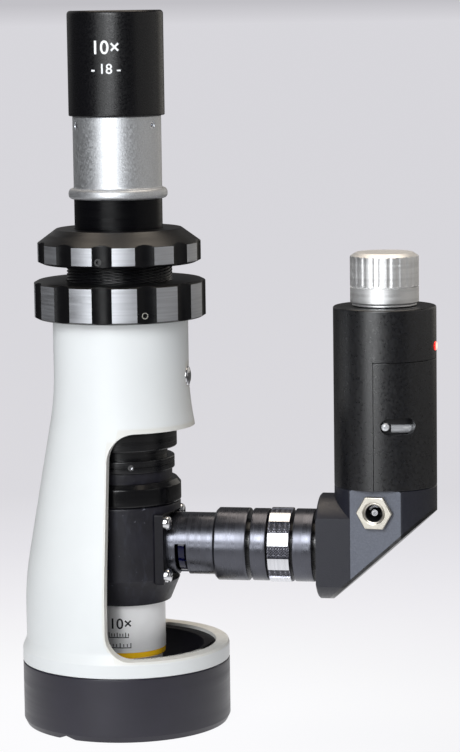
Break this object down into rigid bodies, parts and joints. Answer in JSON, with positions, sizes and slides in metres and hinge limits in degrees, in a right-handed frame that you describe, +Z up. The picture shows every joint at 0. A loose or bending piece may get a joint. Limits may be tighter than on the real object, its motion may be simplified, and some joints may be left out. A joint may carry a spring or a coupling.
{
  "type": "portable metallurgical microscope",
  "caption": "Upright field microscope: windowed white stand on a ring base, coarse and fine focus rings, objective, eyepiece and a side arm with a battery LED lamp.",
  "frame": {"origin": "centre of the port in the base, on the optical axis at the bottom face that rests on the specimen", "axes": "+Z up along the optical axis towards the eyepiece, +X out along the lamp arm, -Y the side with the charging jack"},
  "size_m": [0.1413, 0.07, 0.2388],
  "materials": {
    "white_paint": "semi-gloss painted cast aluminium",
    "base_black": "satin blackened steel",
    "magnet": "nickel-plated magnet",
    "chrome": "polished chrome",
    "grip_aluminium": "black anodised, turned bright on the grip pads",
    "screw_steel": "plain steel",
    "black_anodised": "satin black anodised",
    "gloss_black": "polished black anodised",
    "satin_silver": "bead-blasted clear anodised",
    "objective_silver": "satin chromed brass",
    "yellow_paint": "painted ring",
    "clear_glass": "coated optical glass",
    "blue_glass": "blue daylight filter",
    "knurled_aluminium": "fine knurl with bright pads",
    "iris_steel": "blackened spring steel",
    "blasted_black": "bead-blasted black anodised",
    "mirror": "front-silvered",
    "black_plastic": "moulded",
    "nickel": "nickel-plated brass",
    "pin_silver": "plated pin",
    "white_board": "white solder mask",
    "led_dome": "phosphor dome",
    "cell_wrap": "shrink-wrapped cell",
    "contact_brass": "sprung brass",
    "green_board": "solder mask",
    "dimmer_steel": "pressed steel can",
    "red_led": "clear red epoxy",
    "polished_aluminium": "fluted, polished",
    "cap_black": "satin black anodised"
  },
  "bodies": {
    "stand": {"body_shell": "white_paint", "base_ring": "base_black", "base_magnets": "magnet", "guide_screw": "chrome"},
    "coarse_ring": {"coarse_ring": "grip_aluminium", "coarse_ring_screw": "screw_steel"},
    "focus_carriage": {"neck_sleeve": "black_anodised"},
    "fine_ring": {"fine_ring": "grip_aluminium", "fine_ring_screw": "screw_steel"},
    "optical_tube": {"main_tube": "black_anodised", "draw_tube": "gloss_black", "eyepiece_tube": "satin_silver", "tube_set_screws": "screw_steel", "lock_ring": "black_anodised", "collar_ring": "black_anodised", "illuminator_housing": "black_anodised", "splitter_cell": "black_anodised", "beam_splitter": "clear_glass", "objective_barrel": "objective_silver", "objective_color_ring": "yellow_paint", "objective_nose": "objective_silver", "objective_lens": "clear_glass", "flange_plate": "black_anodised", "flange_screws": "chrome", "filter_tube": "black_anodised", "blue_filter": "blue_glass", "arm_core": "black_anodised", "lens_tube": "black_anodised", "condenser_lens": "clear_glass", "spacer_ring": "black_anodised", "end_tube": "black_anodised", "collector_lens": "clear_glass", "elbow_body": "blasted_black", "elbow_mirror": "mirror", "mirror_cover": "black_anodised", "mirror_cover_screws": "screw_steel", "jack_body": "black_plastic", "jack_nut": "nickel", "jack_pin": "pin_silver", "led_board": "white_board", "led_emitter": "led_dome", "lamp_tube": "black_anodised", "battery_cradle": "black_plastic", "battery_cell": "cell_wrap", "battery_contacts": "contact_brass", "circuit_board": "green_board", "dimmer_body": "dimmer_steel", "indicator_led": "red_led"},
    "aperture_ring": {"aperture_ring": "knurled_aluminium", "iris_leaves": "iris_steel"},
    "lamp_knob": {"lamp_knob": "polished_aluminium", "dimmer_shaft": "pin_silver"},
    "battery_door": {"battery_door": "black_anodised"},
    "door_latch": {"door_latch": "chrome"},
    "eyepiece": {"eyepiece_cap": "cap_black", "eyepiece_barrel": "satin_silver", "eye_lens": "clear_glass", "field_lens": "clear_glass", "field_stop": "black_anodised"}
  },
  "joints": [
    {"name": "coarse_turn", "type": "hinge", "parent": "stand", "child": "coarse_ring", "pos_m": [0, 0, 0.1435], "axis": [0, 0, 1], "range_deg": [-286, 178]},
    {"name": "coarse_slide", "type": "slide", "parent": "stand", "child": "focus_carriage", "axis": [0, 0, 1], "range_m": [-0.005, 0.008]},
    {"name": "fine_turn", "type": "hinge", "parent": "focus_carriage", "child": "fine_ring", "pos_m": [0, 0, 0.161], "axis": [0, 0, 1], "range_deg": [-265, 265]},
    {"name": "fine_slide", "type": "slide", "parent": "focus_carriage", "child": "optical_tube", "axis": [0, 0, 1], "range_m": [-0.00075, 0.00075]},
    {"name": "eyepiece_lift", "type": "slide", "parent": "optical_tube", "child": "eyepiece", "axis": [0, 0, 1], "range_m": [0, 0.035]},
    {"name": "aperture_turn", "type": "hinge", "parent": "optical_tube", "child": "aperture_ring", "pos_m": [0.05415, 0, 0.06086], "axis": [1, 0, 0], "range_deg": [-30, 30]},
    {"name": "brightness_turn", "type": "hinge", "parent": "optical_tube", "child": "lamp_knob", "pos_m": [0.0888, 0, 0.15], "axis": [0, 0, 1], "range_deg": [0, 280]},
    {"name": "door_slide", "type": "slide", "parent": "optical_tube", "child": "battery_door", "axis": [0.9925, -0.1219, 0], "range_m": [0, 0.022]},
    {"name": "latch_turn", "type": "hinge", "parent": "battery_door", "child": "door_latch", "pos_m": [0.0888, 0, 0.1034], "axis": [0, 0, 1], "range_deg": [0, 28]}
  ],
  "couplings": [
    {"joint": "coarse_slide", "follows": "coarse_turn", "m_per_rad": -0.0015915},
    {"joint": "fine_slide", "follows": "fine_turn", "m_per_rad": -0.00015915}
  ]
}
